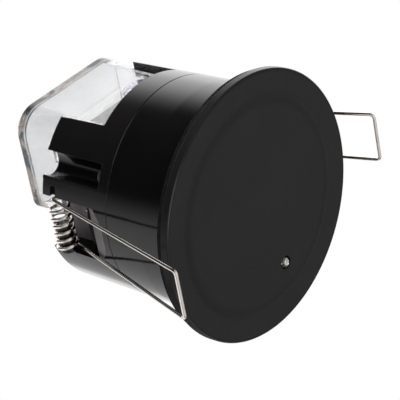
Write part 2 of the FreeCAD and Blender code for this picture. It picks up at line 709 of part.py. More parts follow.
def varistor():
    """A coated disc standing on its edge, with its two legs."""
    disc = Part.makeCylinder(5.0, 3.6, V(-24.3, -3.0, POWER_Z - 8.2), V(1, 0, 0))
    disc = disc.makeFillet(1.2, [e for e in disc.Edges if e.BoundBox.XLength < 1e-4])
    legs = [rod(0.4, POWER_Z - 6.0, POWER_Z, -22.5, y) for y in (-6.0, 0.0)]
    return join([disc] + legs)


def fuse():
    body = turned([(0, POWER_Z - 8.0), corner(3.4, POWER_Z - 8.0, 4.2, POWER_Z - 8.0, 4.2, POWER_Z - 7.2),
                   (4.2, POWER_Z), (0, POWER_Z)])
    body.translate(V(13.7, 6.0, 0))
    return body


def terminal_block():
    half = POLES * POLE_PITCH / 2 + 0.6
    top = DECK_TOP + BLOCK_H
    body = rounded(-half, half, BLOCK_Y0, BLOCK_Y1, DECK_TOP, top, 0.6, 0.6)
    for x in pole_xs():
        body = body.cut(rod(2.2, top - 5.4, top + 1, x, 2.6))
        body = body.cut(block(x - 2.4, x + 2.4, -0.9, 6.1, DECK_TOP + 1.6, top - 4.8))
        wire_way = Part.makeCylinder(1.9, 6, V(x, BLOCK_Y1 - 3, DECK_TOP + 4.2), V(0, 1, 0))
        funnel = Part.makeCone(1.9, 2.5, 0.9, V(x, BLOCK_Y1 - 0.9, DECK_TOP + 4.2), V(0, 1, 0))
        body = body.cut(wire_way.fuse(funnel))
        body = body.cut(block(x - 0.8, x + 0.8, PIN_Y - 0.7, PIN_Y + 0.7, DECK_TOP - 1, DECK_TOP + 3))
    for x in pole_xs()[:-1]:
        groove = x + POLE_PITCH / 2
        body = body.cut(block(groove - 0.3, groove + 0.3, BLOCK_Y0 - 1, BLOCK_Y1 + 1, top - 1.6, top + 1))
    return body


def terminal_cages():
    solids = []
    z0 = DECK_TOP + 1.6
    for x in pole_xs():
        cage = block(x - 2.1, x + 2.1, -0.7, 5.9, z0, z0 + 5.3)
        cage = cage.cut(block(x - 1.5, x + 1.5, -2, 8, z0 + 0.9, z0 + 4.1))
        cage = cage.cut(rod(1.55, z0 + 3, z0 + 7, x, 2.6))
        solids.append(cage)
    return Part.makeCompound(solids)


def terminal_screws():
    solids = []
    seat = DECK_TOP + 1.6 + 5.3
    for x in pole_xs():
        head = rod(1.9, seat, seat + 1.8, x, 2.6)
        shank = rod(1.25, seat - 3.6, seat, x, 2.6)
        slot = block(x - 3, x + 3, 2.6 - 0.3, 2.6 + 0.3, seat + 0.9, seat + 3)
        solids.append(join([head, shank]).cut(slot))
    return Part.makeCompound(solids)


def terminal_pins():
    return Part.makeCompound([pin(x, PIN_Y, POWER_Z - 1.0, DECK_TOP + 1.6, 0.5) for x in pole_xs()])


def screw(x, y, seat, length, head_r, head_h, shank_r):
    """A pan-head screw with a cross recess, head towards the rear."""
    head = turned([(0, seat), (head_r, seat), corner(head_r, seat + 0.5, head_r, seat + head_h, head_r - 1.0,
                                                     seat + head_h), (0, seat + head_h)])
    tip = turned([(0, seat - length), (shank_r * 0.4, seat - length), (shank_r, seat - length + 1.4),
                  (shank_r, seat + 0.2), (0, seat + 0.2)])
    body = join([head, tip])
    for a in (0, 90):
        blade = block(-1.3, 1.3, -0.3, 0.3, seat + head_h - 1.0, seat + head_h + 1)
        body = body.cut(at_angle(blade, a + 20))
    body.translate(V(x, y, 0))
    return body


def housing_screws():
    return Part.makeCompound([screw(x, y, CH_END, 12.0, 2.35, 1.55, 1.25) for x, y, a in channel_centres()])


def cable_clamp():
    z0, z1 = CLAMP_Z, CLAMP_Z + CLAMP_BAR_T
    reach = CLAMP_HALF + 2.8
    strap = rounded(CABLE_X - reach, CABLE_X + reach, CLAMP_Y - 2.4, CLAMP_Y + 2.4, z0, z1, 1.8, 1.8)
    hump = Part.makeCylinder(6.0, 4.8, V(CABLE_X, CLAMP_Y - 2.4, z0 - 1.0), V(0, 1, 0))
    hump = hump.common(block(-40, 40, 0, 40, z0, 60))
    body = join([strap, hump])
    body = body.cut(Part.makeCylinder(4.0, 12, V(CABLE_X, CLAMP_Y - 6, z0 - 1.0), V(0, 1, 0)))
    for x in clamp_xs():
        body = body.cut(rod(1.6, z0 - 1, z1 + 1, x, CLAMP_Y))
    return body


def clamp_screws():
    seat = CLAMP_Z + CLAMP_BAR_T
    return Part.makeCompound([screw(x, CLAMP_Y, seat, 6.5, 2.3, 1.5, 1.2) for x in clamp_xs()])


PARTS = [
    front_bezel, foam_gasket, front_housing, rear_housing, terminal_cover, spring_clip_left, spring_clip_right,
    indicator_led, led_leads, antenna_board, antenna_patches, shield_can, control_board, microcontroller_chip,
    header_pins, board_header, power_board, solder_joints, relay, electrolytic_capacitor, film_capacitor,
    varistor, fuse, terminal_block, terminal_cages, terminal_screws, terminal_pins, housing_screws, cable_clamp,
    clamp_screws]

os.makedirs("parts", exist_ok=True)
for make in PARTS:
    shape = make()
    shape.exportStep(os.path.join("parts", make.__name__ + ".step"))
    print(make.__name__, "solids", len(shape.Solids), "valid", shape.isValid(), "volume", round(shape.Volume, 1))
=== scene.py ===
"""Looks of a recessed ceiling motion sensor: finishes, fine parts, lamps and camera."""

from __future__ import annotations

import logging
import math
from dataclasses import dataclass, field
from enum import Enum
from typing import Any, Sequence

import bmesh
import bpy
from mathutils import Matrix, Vector


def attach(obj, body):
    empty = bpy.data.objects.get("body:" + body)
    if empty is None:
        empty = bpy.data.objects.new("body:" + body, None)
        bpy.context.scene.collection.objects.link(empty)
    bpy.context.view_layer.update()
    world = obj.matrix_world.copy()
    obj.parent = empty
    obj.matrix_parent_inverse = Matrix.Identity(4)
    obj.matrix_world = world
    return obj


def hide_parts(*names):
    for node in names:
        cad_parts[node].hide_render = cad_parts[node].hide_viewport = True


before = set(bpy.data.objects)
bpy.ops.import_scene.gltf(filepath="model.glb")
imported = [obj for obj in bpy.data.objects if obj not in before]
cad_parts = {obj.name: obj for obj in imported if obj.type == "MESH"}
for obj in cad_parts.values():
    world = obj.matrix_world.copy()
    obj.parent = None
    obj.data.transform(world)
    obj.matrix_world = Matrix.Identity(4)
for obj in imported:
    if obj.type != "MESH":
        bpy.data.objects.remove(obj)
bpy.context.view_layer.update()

LOG = logging.getLogger("sensor")
Colour = tuple[float, float, float]
Number = int | float

MM = 0.001  # metres in a millimetre
SOFT = 0.1  # millimetres over which the border of a mask fades
WHITE = (1.0, 1.0, 1.0, 1.0)
# The Mix node repeats the names of its sockets for each kind of value, so those of its colours go by place.
MIX_FIRST, MIX_SECOND, MIX_RESULT = 6, 7, 2


class Body(Enum):
    """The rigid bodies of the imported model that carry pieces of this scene."""

    SENSOR = "sensor"


class Relief(Enum):
    """The kinds of fine surface relief."""

    SPARK = "spark"
    POLISHED = "polished"


class Term:
    """A shader socket that can be used in an expression."""

    def __init__(self, graph: Graph, socket: Any) -> None:
        """Keep the graph that makes the nodes, and the socket."""
        self.graph = graph
        self.socket = socket

    def _math(self, operation: str, *values: Any) -> Term:
        """Add one Math node, with terms or numbers for its sockets, and give its result."""
        node = self.graph.node("ShaderNodeMath", {"operation": operation}, dict(enumerate(values)))
        return Term(self.graph, node.outputs[0])

    def __add__(self, other: Any) -> Term:
        """Sum."""
        return self._math("ADD", self, other)

    def __sub__(self, other: Any) -> Term:
        """Difference."""
        return self._math("SUBTRACT", self, other)

    def __rsub__(self, other: Any) -> Term:
        """Reflected difference."""
        return self._math("SUBTRACT", other, self)

    def __mul__(self, other: Any) -> Term:
        """Product."""
        return self._math("MULTIPLY", self, other)

    def __pow__(self, other: Any) -> Term:
        """Power."""
        return self._math("POWER", self, other)

    def sine(self) -> Term:
        """Sine of an angle in radians."""
        return self._math("SINE", self)

    def size(self) -> Term:
        """Absolute value."""
        return self._math("ABSOLUTE", self)

    def most(self, other: Any) -> Term:
        """The larger of two values."""
        return self._math("MAXIMUM", self, other)

    def step(self, low: float, high: float) -> Term:
        """Smooth step from 0 at low to 1 at high.

        Args:
            low: value at which the result is 0.
            high: value at which the result is 1.

        Returns:
            The stepped value.
        """
        node = self.graph.node(
            "ShaderNodeMapRange",
            {"interpolation_type": "SMOOTHSTEP"},
            {"Value": self, "From Min": low, "From Max": high, "To Min": 0.0, "To Max": 1.0},
        )
        return Term(self.graph, node.outputs[0])

    def past(self, low_mm: float, high_mm: float) -> Term:
        """Smooth step of a length, with its two ends in millimetres."""
        return self.step(low_mm * MM, high_mm * MM)

    def near(self, middle_mm: float, full_mm: float, none_mm: float) -> Term:
        """Mask that is 1 for lengths up to full_mm from a middle one, and 0 from none_mm on."""
        return 1 - (self - middle_mm * MM).size().past(full_mm, none_mm)


class Graph:
    """Makes the nodes of one node tree."""

    def __init__(self, tree: bpy.types.NodeTree) -> None:
        """Start from an empty tree."""
        self.tree = tree
        tree.nodes.clear()

    def node(self, kind: str, settings: dict[str, Any], values: dict[Any, Any]) -> bpy.types.Node:
        """Add a node.

        Args:
            kind: the node's type.
            settings: its properties, set first.
            values: numbers, colours, terms or sockets for its inputs, by name or place.

        Returns:
            The new node.
        """
        node = self.tree.nodes.new(kind)
        for key, value in settings.items():
            setattr(node, key, value)
        for key, value in values.items():
            socket = node.inputs[key]
            if isinstance(value, Term):
                self.tree.links.new(value.socket, socket)
            elif isinstance(value, bpy.types.NodeSocket):
                self.tree.links.new(value, socket)
            else:
                socket.default_value = value
        return node

    def term(self, node: bpy.types.Node, output: Any = 0) -> Term:
        """Wrap one output of a node."""
        return Term(self, node.outputs[output])

    def split(self, vector: Any) -> tuple[Term, Term, Term]:
        """The three parts of a vector."""
        node = self.node("ShaderNodeSeparateXYZ", {}, {0: vector})
        return self.term(node, 0), self.term(node, 1), self.term(node, 2)

    def place(self) -> bpy.types.NodeSocket:
        """Object coordinates, in metres."""
        return self.node("ShaderNodeTexCoord", {}, {}).outputs["Object"]

    def axes(self) -> tuple[Term, Term, Term]:
        """The three parts of the object coordinates."""
        return self.split(self.place())

    def lean(self) -> Term:
        """The part along Z of the surface's normal."""
        return self.split(self.node("ShaderNodeNewGeometry", {}, {}).outputs["Normal"])[2]

    def upright(self, low: float = 0.3, high: float = 0.7) -> Term:
        """Mask of the faces that stand along Z, which fades while their lean goes from low to high."""
        return 1 - self.lean().size().step(low, high)

    def noise(self, size_mm: float, detail: float = 3.0, stretch: Colour = (1.0, 1.0, 1.0)) -> Term:
        """Soft noise.

        Args:
            size_mm: size of its features.
            detail: octaves.
            stretch: factors on the three coordinates.

        Returns:
            Values around 0.5.
        """
        spot = self.node("ShaderNodeMapping", {}, {"Vector": self.place(), "Scale": stretch})
        noise = self.node(
            "ShaderNodeTexNoise", {}, {"Vector": spot.outputs[0], "Scale": 1.0 / (size_mm * MM), "Detail": detail}
        )
        return self.term(noise)

    def cells(self, size_mm: float) -> Term:
        """Cell noise: the distance to the nearest middle of a cell, in cells."""
        values = {"Vector": self.place(), "Scale": 1.0 / (size_mm * MM)}
        return self.term(self.node("ShaderNodeTexVoronoi", {"feature": "F1"}, values), "Distance")

    def blend(self, factor: Term, first: Any, second: Any) -> bpy.types.NodeSocket:
        """Mix two colours, each plain or a socket, by a factor that is 0 for the first."""
        values = {0: factor, MIX_FIRST: self._rgba(first), MIX_SECOND: self._rgba(second)}
        return self.node("ShaderNodeMix", {"data_type": "RGBA"}, values).outputs[MIX_RESULT]

    @staticmethod
    def _rgba(value: Any) -> Any:
        """Give a plain colour its fourth number, and leave a socket as it is."""
        return (*value, 1.0) if isinstance(value, tuple) else value

    def bump(
        self, height: Term, depth_mm: float, strength: float = 1.0, edge_mm: float = 0.0
    ) -> bpy.types.NodeSocket:
        """Bump from a height between 0 and 1.

        Args:
            height: the relief.
            depth_mm: its depth.
            strength: share of it that is used.
            edge_mm: radius at which sharp edges catch the light, or 0.

        Returns:
            The normal.
        """
        values = {"Height": height, "Distance": depth_mm * MM, "Strength": strength}
        if edge_mm > 0:
            values["Normal"] = self.node("ShaderNodeBevel", {"samples": 4}, {"Radius": edge_mm * MM}).outputs[0]
        return self.node("ShaderNodeBump", {}, values).outputs[0]


def new_material(name: str) -> tuple[bpy.types.Material, Graph]:
    """Make an empty node material.

    Args:
        name: its name.

    Returns:
        The material and its graph.
    """
    material = bpy.data.materials.new(name)
    material.use_nodes = True
    return material, Graph(material.node_tree)


def shade(graph: Graph, values: dict[str, Any], shadow: Term | None = None) -> None:
    """End a material with one Principled shader, and a matt black one where it lies in a deep shadow.

    Args:
        graph: the material's graph.
        values: the shader's inputs.
        shadow: 1 where the surface is in the shadow.
    """
    surface = graph.node("ShaderNodeBsdfPrincipled", {}, values).outputs[0]
    if shadow is not None:
        black = {"Base Color": (0.001, 0.001, 0.001, 1.0), "Roughness": 1.0, "Specular IOR Level": 0.0}
        dark = graph.node("ShaderNodeBsdfPrincipled", {}, black).outputs[0]
        surface = graph.node("ShaderNodeMixShader", {}, {0: shadow, 1: surface, 2: dark}).outputs[0]
    graph.node("ShaderNodeOutputMaterial", {}, {"Surface": surface})


def lighter(colour: Colour, factor: float) -> Colour:
    """A colour times a factor, kept at most 1."""
    return tuple(min(1.0, channel * factor) for channel in colour)


@dataclass(frozen=True)
class Moulded:
    """Plastic from a spark-eroded or polished mould, with faint flow shading and soft edges."""

    name: str
    colour: Colour
    rough: float = 0.4
    rough_spread: float = 0.05
    relief: Relief = Relief.SPARK
    relief_mm: float = 0.012
    grain_mm: float = 0.35
    flow_mm: float = 14.0
    smear_mm: float = 6.0
    tone_spread: float = 0.12
    specular: float = 0.5
    edge_mm: float = 0.0
    seam_z: float | None = None
    seam_half: float = 0.24
    seam_y: float = 28.0

    def seam(self, g: Graph) -> Term:
        """Mask of the line where the seam between two mouldings lies in its own shadow."""
        _, y, z = g.axes()
        return z.near(self.seam_z, SOFT, self.seam_half) * y.past(self.seam_y, self.seam_y + 2.0)

    def touch(self, g: Graph, base: bpy.types.NodeSocket, rough: Term) -> tuple[bpy.types.NodeSocket, Term]:
        """The colour and roughness to use, which subclasses change to paint light and shade on a moulding and to
        leave parts of it matt.
        """
        return base, rough

    def build(self) -> bpy.types.Material:
        """Make the material.

        Returns:
            The material.
        """
        material, g = new_material(self.name)
        fine = g.noise(self.grain_mm, 4.0)
        tone = (g.noise(self.flow_mm, 2.0) * 0.6 + fine * 0.4).step(0.3, 0.75)
        base = g.blend(tone, lighter(self.colour, 1 - self.tone_spread), lighter(self.colour, 1 + self.tone_spread))
        smear = g.noise(self.smear_mm, 3.0, (1.0, 1.0, 0.3))
        rough = (smear - 0.5) * (2 * self.rough_spread) + self.rough
        base, rough = self.touch(g, base, rough)
        height = fine
        if self.relief is Relief.SPARK:
            height = fine * 0.6 + g.cells(self.grain_mm * 1.6) * 0.4
        shade(
            g,
            {
                "Base Color": base,
                "Roughness": rough,
                "Specular IOR Level": self.specular,
                "Normal": g.bump(height, self.relief_mm, 1.0, self.edge_mm),
            },
            None if self.seam_z is None else self.seam(g),
        )
        return material


@dataclass(frozen=True)
class PaintedLightRim(Moulded):
    """Moulded cover with a painted highlight along its outer edge, and painted shade on a line inside it and on a
    ring.
    """

    front_z: float = -4.0
    edge_r: float = 37.74
    line_r: float = 37.32
    width: float = 0.24
    # Painted highlight along the edge: size of its patches, where it stops near the top, its tone and its gloss.
    glint_patch_mm: float = 18.0
    lit_y: float = 22.0
    lit_fade: float = 8.0
    highlight_tone: float = 4.2
    edge_gloss: float = 0.1
    line_tone: float = 0.25
    line_share: float = 0.75
    ring_r: float = 29.8
    ring_core: float = 0.5
    ring_half: float = 2.4
    ring_tone: float = 0.3
    ring_share: float = 0.38
    side_low: float = -10.0
    side_high: float = 15.0
    side_matt: float = 0.4
    side_gloss: float = 0.6

    def touch(self, g: Graph, base: bpy.types.NodeSocket, rough: Term) -> tuple[bpy.types.NodeSocket, Term]:
        """Paint a highlight on the edge, paint shade on the line inside it and on the ring, and gloss the top of
        the side.

        Args:
            g: the material's graph.
            base: colour of the plain surface.
            rough: its roughness.

        Returns:
            The colour and roughness to use.
        """
        x, y, z = g.axes()
        r = (x * x + y * y) ** 0.5
        front = 1 - z.past(self.front_z - SOFT, self.front_z + SOFT)
        # Patches along the edge that carry the painted highlight.
        glint_patches = g.noise(self.glint_patch_mm, 2.0).step(0.35, 0.6)
        edge = r.near(self.edge_r, SOFT, self.width) * front
        line = r.near(self.line_r, SOFT, self.width) * front
        ring = r.near(self.ring_r, self.ring_core, self.ring_half) * front
        # The painted highlight shows along the edge except near the top, where the edge gets painted shade instead.
        lit_side = 1 - y.past(self.lit_y, self.lit_y + self.lit_fade)
        # Painted shade on the line and on the unlit edge, a painted highlight on the lit edge, and painted shade on
        # the ring.
        shaded = (line * self.line_share).most(edge * (1 - lit_side))
        base = g.blend(shaded, base, lighter(self.colour, self.line_tone))
        base = g.blend(edge * glint_patches * lit_side, base, lighter(self.colour, self.highlight_tone))
        base = g.blend(ring * self.ring_share, base, lighter(self.colour, self.ring_tone))
        polish = self.side_matt - y.past(self.side_low, self.side_high) * self.side_gloss
        return base, rough - edge * self.edge_gloss + g.upright() * (1 - front) * polish


@dataclass(frozen=True)
class WellHousing(Moulded):
    """Polished housing that is left matt on the panels and ramps of its spring wells, with painted light making
    those faces paler.
    """

    half: float = 8.3
    panel_x: float = 23.3
    panel_z: float = 30.0
    panel_lit_tone: float = 32.0
    panel_matt: float = 0.45
    ramp_x: float = 27.0
    ramp_top: float = 31.0
    ramp_lit_tone: float = 22.0
    ramp_matt: float = 0.25

    def touch(self, g: Graph, base: bpy.types.NodeSocket, rough: Term) -> tuple[bpy.types.NodeSocket, Term]:
        """Make the panels and ramps of the wells matt, and paint light on them as a paler colour.

        Args:
            g: the material's graph.
            base: colour of the plain surface.
            rough: its roughness.

        Returns:
            The colour and roughness to use.
        """
        x, y, z = g.axes()
        out, lean = x.size(), g.lean()
        inside = 1 - y.size().past(self.half - SOFT, self.half)
        panel = out.near(self.panel_x, SOFT, 2 * SOFT) * z.past(self.panel_z - SOFT, self.panel_z) * inside
        sloped = lean.step(0.2, 0.3) * (1 - lean.step(0.45, 0.55)) * out.past(self.ramp_x, self.ramp_x + 2 * SOFT)
        ramp = sloped * inside * (1 - z.past(self.ramp_top, self.ramp_top + 2 * SOFT))
        # Painted light: the colour of the panels and ramps is lightened many times over to give them the light that
        # falls on them in the wells.
        base = g.blend(panel, base, lighter(self.colour, self.panel_lit_tone))
        base = g.blend(ramp, base, lighter(self.colour, self.ramp_lit_tone))
        return base, rough + panel * self.panel_matt + ramp * self.ramp_matt


@dataclass(frozen=True)
class Clear:
    """Clear plastic with a faint haze and fine scratches."""

    name: str
    tint: Colour
    rough: float = 0.03
    ior: float = 1.49
    haze: float = 0.03
    alpha: float = 0.8
    clear: float = 1.0

    def edge(self, g: Graph) -> tuple[Term | None, bpy.types.NodeSocket | None]:
        """Where the edge of a clear sheet gets painted reflections, as dark streaks, and their colour."""
        return None, None

    def build(self) -> bpy.types.Material:
        """Make the material.

        Returns:
            The material.
        """
        material, g = new_material(self.name)
        scratch = g.noise(0.5, 3.0, (1.0, 0.08, 1.0))
        cloud = g.noise(9.0, 2.0)
        base = g.blend(cloud.step(0.3, 0.7), lighter(self.tint, 0.985), self.tint)
        alpha: Any = self.alpha
        mask, painted_edge_colour = self.edge(g)
        # Painted reflections on the edge: their colour replaces the tint and they are less clear.
        if mask is not None:
            base = g.blend(mask, base, painted_edge_colour)
            alpha = mask * (1 - self.alpha) + self.alpha
        shade(
            g,
            {
                "Base Color": base,
                "Roughness": scratch.step(0.62, 0.8) * 0.05 + cloud * self.haze + self.rough,
                "Transmission Weight": self.clear,
                "IOR": self.ior,
                "Alpha": alpha,
                "Normal": g.bump(scratch, 0.002, 0.4),
            },
        )
        return material


@dataclass(frozen=True)
class ClearBox(Clear):
    """Clear moulded box with painted reflections, as dark and pale streaks, along the edge of its end plate, and a
    painted lilac-grey sheen on the rim of its mouth.
    """

    plate_z: float = 59.5
    mouth_z: float = 47.4
    # The painted reflections fade out on the far side of the plate and are drawn in dark and pale blocks and lines;
    # the mouth gets a painted sheen.
    fade_x: float = 19.0
    faded: float = 0.1
    block_mm: float = 7.0
    line_mm: float = 1.6
    dark: Colour = (0.008, 0.010, 0.016)
    pale: Colour = (0.40, 0.32, 0.27)
    mouth_sheen: Colour = (0.53, 0.52, 0.61)

    def edge(self, g: Graph) -> tuple[Term | None, bpy.types.NodeSocket | None]:
        """Find the side faces of the end plate and the rim of the mouth, which get painted reflections.

        Args:
            g: the material's graph.

        Returns:
            Their mask and colour.
        """
        x, _, z = g.axes()
        faint = 1 - (0 - x).past(self.fade_x, self.fade_x + 1.0) * (1 - self.faded)
        plate = g.upright(0.9, 0.98) * faint * z.past(self.plate_z - SOFT / 2, self.plate_z + SOFT / 2)
        mouth = (0 - g.lean()).step(0.1, 0.4) * (1 - z.past(self.mouth_z + SOFT, self.mouth_z + 2 * SOFT))
        # Painted reflections: dark streaks with pale blocks on the plate's edge, and a lilac-grey sheen on the
        # mouth.
        blocks = g.noise(self.block_mm, 1.0, (1.0, 1.0, 1.3)).step(0.47, 0.54)
        lines = g.noise(self.line_mm, 2.0, (0.3, 0.3, 2.4)).step(0.4, 0.6)
        share = blocks * (lines * 0.4 + 0.6) + (1 - blocks) * lines * 0.05
        return plate.most(mouth), g.blend(mouth, g.blend(share, self.dark, self.pale), self.mouth_sheen)


@dataclass(frozen=True)
class Metal:
    """Drawn, plated or pressed metal."""

    name: str
    colour: Colour
    rough: float = 0.25
    rough_spread: float = 0.08
    stretch: Colour = (1.0, 1.0, 1.0)
    relief_mm: float = 0.004
    grain_mm: float = 0.3
    stain_mm: float = 3.0
    stain_tone: float = 0.75

    def build(self) -> bpy.types.Material:
        """Make the material.

        Returns:
            The material.
        """
        material, g = new_material(self.name)
        grain = g.noise(self.grain_mm, 4.0, self.stretch)
        stain = g.noise(self.stain_mm, 3.0, self.stretch).step(0.35, 0.7)
        shade(
            g,
            {
                "Base Color": g.blend(stain, lighter(self.colour, self.stain_tone), self.colour),
                "Metallic": 1.0,
                "Roughness": (grain - 0.5) * (2 * self.rough_spread) + self.rough,
                "Normal": g.bump(grain, self.relief_mm),
            },
        )
        return material


@dataclass(frozen=True)
class Foam:
    """Closed-cell foam, with painted highlights on the cell tops and painted shade in the pits."""

    name: str
    colour: Colour = (0.010, 0.0096, 0.0096)
    cell_mm: float = 0.42
    relief_mm: float = 0.12
    top_painted_light: float = 2.4
    pit_painted_shade: float = 0.25

    def build(self) -> bpy.types.Material:
        """Make the material.

        Returns:
            The material.
        """
        material, g = new_material(self.name)
        height = g.cells(self.cell_mm) * 0.7 + g.cells(self.cell_mm * 0.45) * 0.3
        # Painted light on the foam: cell tops are lighter and pits darker, by the height of the relief.
        pale, dark = lighter(self.colour, self.top_painted_light), lighter(self.colour, self.pit_painted_shade)
        shade(
            g,
            {
                "Base Color": g.blend(height.step(0.15, 0.6), pale, dark),
                "Roughness": g.noise(1.2, 4.0) * 0.15 + 0.82,
                "Specular IOR Level": 0.3,
                "Normal": g.bump(height, self.relief_mm),
            },
        )
        return material


@dataclass(frozen=True)
class Laminate:
    """Circuit board: glass cloth under lacquer, with tracks that show as lighter runs, and painted shadow on its
    sawn edge faces.
    """

    name: str
    colour: Colour = (0.012, 0.07, 0.035)
    track: Colour = (0.03, 0.14, 0.06)
    pitch_mm: float = 1.27
    zone_mm: float = 7.0
    edge_shadow: float = 0.85

    def build(self) -> bpy.types.Material:
        """Make the material.

        Returns:
            The material.
        """
        material, g = new_material(self.name)
        x, y, _ = g.axes()
        wave = math.pi / (self.pitch_mm * MM)
        zone = g.noise(self.zone_mm, 0.0).step(0.47, 0.53)
        lines = (x * wave).sine().step(0.2, 0.4) * zone + (y * wave).sine().step(0.2, 0.4) * (1 - zone)
        weave = ((x * (wave * 4)).sine() * (y * (wave * 4)).sine()).step(-0.5, 0.5)
        cloth = g.blend(weave, lighter(self.colour, 0.85), self.colour)
        shade(
            g,
            {
                "Base Color": g.blend(lines, cloth, self.track),
                "Roughness": g.noise(2.0, 2.0) * 0.1 + 0.3,
                "Coat Weight": 0.3,
                "Coat Roughness": 0.15,
                "Normal": g.bump(lines * 0.8 + weave * 0.2, 0.03),
            },
            # Painted shadow: the upright edge faces get the matt black shader.
            g.upright() * self.edge_shadow,
        )
        return material


@dataclass(frozen=True)
class Ground:
    """Pale studio floor, which the camera sees nearly as white as the backdrop."""

    name: str = "studio_paper"
    white: float = 0.7
    low: Colour = (0.86, 0.86, 0.86)
    high: Colour = (0.89, 0.89, 0.89)

    def build(self) -> bpy.types.Material:
        """Make the material.

        Returns:
            The material.
        """
        material, g = new_material(self.name)
        mottle = g.noise(60.0, 3.0)
        paper = g.node(
            "ShaderNodeBsdfPrincipled",
            {},
            {
                "Base Color": g.blend(mottle, self.low, self.high),
                "Roughness": mottle * 0.1 + 0.75,
                "Normal": g.bump(g.noise(2.0, 4.0), 0.05),
            },
        )
        glow = g.node("ShaderNodeEmission", {}, {"Color": WHITE, "Strength": 1.0})
        ray = g.node("ShaderNodeLightPath", {}, {})
        seen = g.term(ray, "Is Camera Ray").most(g.term(ray, "Is Transmission Ray")) * self.white
        mixed = g.node("ShaderNodeMixShader", {}, {0: seen, 1: paper.outputs[0], 2: glow.outputs[0]})
        g.node("ShaderNodeOutputMaterial", {}, {"Surface": mixed.outputs[0]})
        return material


Finish = Moulded | Clear | Metal | Foam | Laminate
SATIN: dict[str, Any] = {
    "rough": 0.16,
    "rough_spread": 0.03,
    "relief": Relief.POLISHED,
    "relief_mm": 0.002,
    "grain_mm": 0.5,
    "tone_spread": 0.2,
    "edge_mm": 0.12,
    "seam_z": 23.2,
}
WIRE: dict[str, Any] = {
    "colour": (1.0, 0.93, 0.87),
    "rough": 0.13,
    "rough_spread": 0.05,
    "stretch": (1.0, 1.0, 0.12),
    "grain_mm": 0.6,
    "stain_tone": 0.9,
}
FINISHES: dict[str, Finish] = {
    # The bezel's finish paints a highlight along its edge and shade on a line and a ring.
    "front_bezel": PaintedLightRim(
        "matte_face",
        (0.0102, 0.0097, 0.0099),
        rough=0.43,
        rough_spread=0.04,
        relief_mm=0.008,
        grain_mm=0.3,
        tone_spread=0.1,
        specular=0.2,
        edge_mm=0.12,
    ),
    "foam_gasket": Foam("foam_ring"),
    "front_housing": Moulded("satin_body", (0.0035, 0.0033, 0.0036), **SATIN),
    # The rear housing's finish paints light on the panels and ramps of its wells.
    "rear_housing": WellHousing("satin_rear", (0.0062, 0.0056, 0.0060), **SATIN),
    "terminal_cover": ClearBox("clear_cover", (0.94, 0.945, 0.955), rough=0.02),
    "spring_clip_left": Metal("nickel_wire", **WIRE),
    "spring_clip_right": Metal("nickel_wire_far", **WIRE),
    "indicator_led": Clear("led_lens", (0.74, 0.72, 0.70), rough=0.04, ior=1.5, haze=0.02, alpha=0.9, clear=0.9),
    "led_leads": Metal("led_tin", (0.72, 0.71, 0.69), rough=0.3),
    "antenna_board": Laminate("antenna_laminate"),
    "antenna_patches": Metal("bare_copper", (0.80, 0.45, 0.28), rough=0.3),
    "shield_can": Metal("tinned_sheet", (0.66, 0.66, 0.65), rough=0.28, rough_spread=0.1, stretch=(1.0, 0.1, 1.0)),
    "control_board": Laminate("control_laminate"),
    "microcontroller_chip": Moulded("chip_resin", (0.02, 0.02, 0.021), rough=0.55, relief_mm=0.01, grain_mm=0.15),
    "header_pins": Metal("gilt_pins", (0.85, 0.68, 0.33)),
    "board_header": Moulded("header_resin", (0.015, 0.015, 0.016), rough=0.45),
    "power_board": Laminate("power_laminate", (0.008, 0.009, 0.009), (0.018, 0.019, 0.019), pitch_mm=2.0),
    "solder_joints": Metal(
        "solder", (0.76, 0.76, 0.75), rough=0.22, rough_spread=0.1, relief_mm=0.02, grain_mm=0.6, stain_tone=0.7
    ),
    "relay": Moulded("relay_case", (0.02, 0.07, 0.26), rough=0.35),
    "electrolytic_capacitor": Moulded(
        "shrink_sleeve", (0.012, 0.012, 0.03), rough=0.3, relief=Relief.POLISHED, relief_mm=0.01, grain_mm=1.0
    ),
    "film_capacitor": Moulded("capacitor_box", (0.55, 0.42, 0.05), rough=0.35),
    "varistor": Moulded(
        "varistor_coat", (0.03, 0.11, 0.35), rough=0.45, rough_spread=0.08, relief_mm=0.05, grain_mm=0.8
    ),
    "fuse": Moulded("fuse_case", (0.12, 0.05, 0.025), rough=0.35),
    "terminal_block": Moulded("block_nylon", (0.62, 0.62, 0.59)),
    "terminal_cages": Metal("plated_cage", (0.74, 0.70, 0.58), rough=0.3),
    "terminal_screws": Metal("plated_screw", (0.72, 0.71, 0.68)),
    "terminal_pins": Metal("tinned_pin", (0.74, 0.72, 0.66), rough=0.3),
    "housing_screws": Metal("black_screw", (0.09, 0.09, 0.09), rough=0.4),
    "cable_clamp": Moulded("clamp_nylon", (0.015, 0.015, 0.016), rough=0.42),
    "clamp_screws": Metal("clamp_plating", (0.72, 0.71, 0.68)),
}


